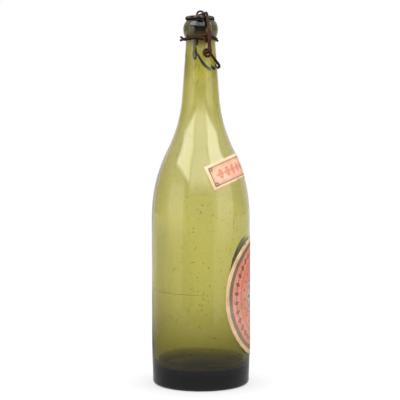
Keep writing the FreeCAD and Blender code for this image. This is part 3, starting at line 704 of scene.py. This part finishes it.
# Studio: a plain pale floor and white surroundings, with a high and a low soft lamp on each side of the
# camera and a wide one above it. Seen through the glass, the floor is shaded near the bottle.
camera_turn = math.radians(112.0)
camera_distance = 0.87
camera_height = 0.179
shoulder_level = 0.17
camera_side = Vector((-math.sin(camera_turn), -math.cos(camera_turn), 0))
camera_right = Vector((-camera_side.y, camera_side.x, 0))
lens = bpy.data.cameras.new("camera")
lens.sensor_width = 36
lens.lens = 94.37
camera = bpy.data.objects.new("camera", lens)
camera.location = camera_side * camera_distance + Vector((0, 0, camera_height))
camera.rotation_euler = (math.radians(90 - 1.77), math.radians(0.06), -camera_turn + math.radians(0.04))
bpy.context.scene.collection.objects.link(camera)
bpy.context.scene.camera = camera


def lamp(name, turn, distance, low, high, width, brightness, core, slant=0):
    """An upright panel, from a low to a high angle as seen from the shoulder, dimmer outside its core.

    A slant cuts its outer lower corner off, and fades its inner edge.
    """
    foot = distance * math.tan(math.radians(low))
    top = distance * math.tan(math.radians(high))
    panel = bpy.data.lights.new(name, "AREA")
    panel.shape = "RECTANGLE"
    panel.size = width
    panel.size_y = top - foot
    panel.energy = brightness * width * (top - foot)
    panel.use_nodes = True
    tree = panel.node_tree
    spot = put(tree, "ShaderNodeNewGeometry").outputs["Parametric"]
    spread = put(tree, "ShaderNodeSeparateXYZ", {0: spot})
    strength = 1.0
    for side, reach in zip("XY", core):
        offset = maths(tree, "ABSOLUTE", maths(tree, "ADD", spread.outputs[side], -0.5))
        edge = {"Value": offset, "From Min": reach, "From Max": 0.5, "To Min": 1, "To Max": 0}
        strength = product(tree, strength, put(tree, "ShaderNodeMapRange", edge).outputs[0])
    if slant:
        inner_edge = 1 if turn < 0 else 0
        outward = maths(tree, "ABSOLUTE", maths(tree, "ADD", spread.outputs["X"], -inner_edge))
        raised = maths(tree, "MULTIPLY_ADD", outward, -slant, spread.outputs["Y"])
        strength = product(tree, strength, above(tree, raised, 0.04, 0.05), above(tree, outward, 0.02, 0.14))
    tree.links.new(strength, tree.nodes["Emission"].inputs["Strength"])
    direction = camera_side * math.cos(math.radians(turn)) + camera_right * math.sin(math.radians(turn))
    stand = bpy.data.objects.new(name, panel)
    stand.location = direction * distance + Vector((0, 0, shoulder_level + (foot + top) / 2))
    stand.rotation_euler = direction.to_track_quat("Z", "Y").to_euler()
    bpy.context.scene.collection.objects.link(stand)


for name, side, low_brightness in (("left", -1, 3.2), ("right", 1, 4.2)):
    lamp(
        "lamp_high_" + name,
        turn=57 * side,
        distance=1.0,
        low=23.5,
        high=60,
        width=1.08,
        brightness=16.0,
        core=(0.42, 0.45),
        slant=0.16,
    )
    lamp(
        "lamp_low_" + name,
        turn=60 * side,
        distance=1.0,
        low=-8,
        high=24,
        width=0.9,
        brightness=low_brightness,
        core=(0.36, 0.3),
    )
lamp("lamp_above", turn=0, distance=1.25, low=15, high=58, width=1.5, brightness=9.8, core=(0.42, 0.28))

world = bpy.data.worlds.new("white_surroundings")
bpy.context.scene.world = world
world.use_nodes = True
tree = world.node_tree
backing = tree.nodes["Background"]
rays = put(tree, "ShaderNodeLightPath")
through = rays.outputs["Is Transmission Ray"]
mirrored = product(tree, rays.outputs["Is Glossy Ray"], maths(tree, "SUBTRACT", 1, through))
direction = put(tree, "ShaderNodeTexCoord").outputs["Generated"]
gap_side = camera_side * math.cos(math.radians(7)) - camera_right * math.sin(math.radians(7))


def mixed_value(tree, share, first, second):
    """Mixes two values by a share."""
    return put(tree, "ShaderNodeMix", {0: share, 2: first, 3: second}).outputs[0]


def screens(tree, direction):
    """How bright the white screens beside the camera mirror in the glass, with a gap between them."""
    level = levelled(tree, direction)
    level = put(tree, "ShaderNodeVectorMath", {0: level}, operation="NORMALIZE").outputs["Vector"]
    facing = lying(tree, level, gap_side)
    rise = put(tree, "ShaderNodeSeparateXYZ", {0: direction}).outputs["Z"]
    beside = product(tree, between(tree, facing, -0.65, 0.05, 0.1), below(tree, rise, 0.4, 0.15))
    gap = maths(tree, "MULTIPLY_ADD", above(tree, rise, 0.14, 0.06), -0.17, -0.8)
    beside = maths(tree, "MULTIPLY_ADD", beside, -0.45, 1)
    return maths(tree, "MULTIPLY_ADD", above(tree, facing, 0.81, 0.02), gap, beside)


front = screens(tree, direction)
rise = put(tree, "ShaderNodeSeparateXYZ", {0: direction}).outputs["Z"]
fade = {"Value": rise, "From Min": 0.4, "From Max": 0.75, "To Min": 1, "To Max": 0.3}
ceiling = put(tree, "ShaderNodeMapRange", fade).outputs[0]
level = maths(tree, "MULTIPLY_ADD", front, mirrored, rays.outputs["Is Camera Ray"])
room = above(tree, lying(tree, direction, camera_side), 0.3, 0.3)
backdrop = maths(tree, "MULTIPLY_ADD", room, -0.75, 0.97)
level = maths(tree, "MULTIPLY_ADD", product(tree, through, backdrop), ceiling, level)
looking = maths(tree, "ADD", rays.outputs["Is Camera Ray"], maths(tree, "ADD", mirrored, through))
lighting = maths(tree, "SUBTRACT", 1, maths(tree, "MINIMUM", 1, looking))
level = maths(tree, "MULTIPLY_ADD", lighting, 0.2, level)
tree.links.new(level, backing.inputs["Strength"])
backing.inputs["Color"].default_value = (1, 1, 1, 1)

floor_sheet = bmesh.new()
bmesh.ops.create_grid(floor_sheet, x_segments=1, y_segments=1, size=6)
floor_white, tree, shader = new_material("floor_white")
shader.inputs["Base Color"].default_value = (0.05, 0.05, 0.05, 1)
shader.inputs["Roughness"].default_value = 0.9
shader.inputs["Specular IOR Level"].default_value = 0.1
shader.inputs["Emission Color"].default_value = (1, 1, 1, 1)
rays = put(tree, "ShaderNodeLightPath")
camera_ray = rays.outputs["Is Camera Ray"]
through = rays.outputs["Is Transmission Ray"]
seen = maths(tree, "MAXIMUM", camera_ray, rays.outputs["Is Glossy Ray"])
seen = product(tree, seen, maths(tree, "SUBTRACT", 1, through))
place = put(tree, "ShaderNodeTexCoord").outputs["Object"]
away = length_of(tree, place)
# Seen by the camera: white, with a faint shadow close to the bottle
near = put(tree, "ShaderNodeAmbientOcclusion", {"Distance": 0.05}, samples=8).outputs["AO"]
open_air = put(tree, "ShaderNodeMapRange", {"Value": near, "From Max": 0.95, "To Min": 0.6}).outputs[0]
whiten = {"Value": away, "From Min": 0.05, "From Max": 0.12, "To Min": 0.98}
plain = put(tree, "ShaderNodeMapRange", whiten).outputs[0]
# Mirrored in the glass: lit up to a ragged front edge, and the screens' feet beyond it
forward = lying(tree, place, camera_side)
sideways = lying(tree, place, camera_right)
front_edge = maths(tree, "MULTIPLY_ADD", sideways, 0.076, forward)
front_edge = maths(tree, "MULTIPLY_ADD", clouded(tree, place, 22, 3), 0.06, front_edge)
front_edge = below(tree, front_edge, 0.393, 0.006)
lit = ramp(tree, away, (0.05, (0.45,) * 3), (0.2, (0.22,) * 3), (0.42, (0.6,) * 3), (1, (1, 1, 1)))
mirror = mixed_value(tree, front_edge, screens(tree, place), lit)
# Seen through the glass: shaded near the bottle
close_by = maths(tree, "EXPONENT", maths(tree, "DIVIDE", away, -0.3))
farther_off = maths(tree, "EXPONENT", maths(tree, "DIVIDE", away, -2.0))
shaded = maths(tree, "MULTIPLY_ADD", close_by, -0.85, maths(tree, "MULTIPLY_ADD", farther_off, -0.12, 1))
glow = product(tree, plain, open_air, camera_ray)
glow = maths(tree, "MULTIPLY_ADD", maths(tree, "SUBTRACT", seen, camera_ray), mirror, glow)
glow = maths(tree, "MULTIPLY_ADD", shaded, through, glow)
lighting = maths(tree, "SUBTRACT", 1, maths(tree, "ADD", seen, through))
glow = maths(tree, "MULTIPLY_ADD", lighting, 0.3, glow)
tree.links.new(glow, shader.inputs["Emission Strength"])
floor = finished(floor_sheet, "floor", floor_white)

bpy.context.scene.view_settings.view_transform = "Standard"
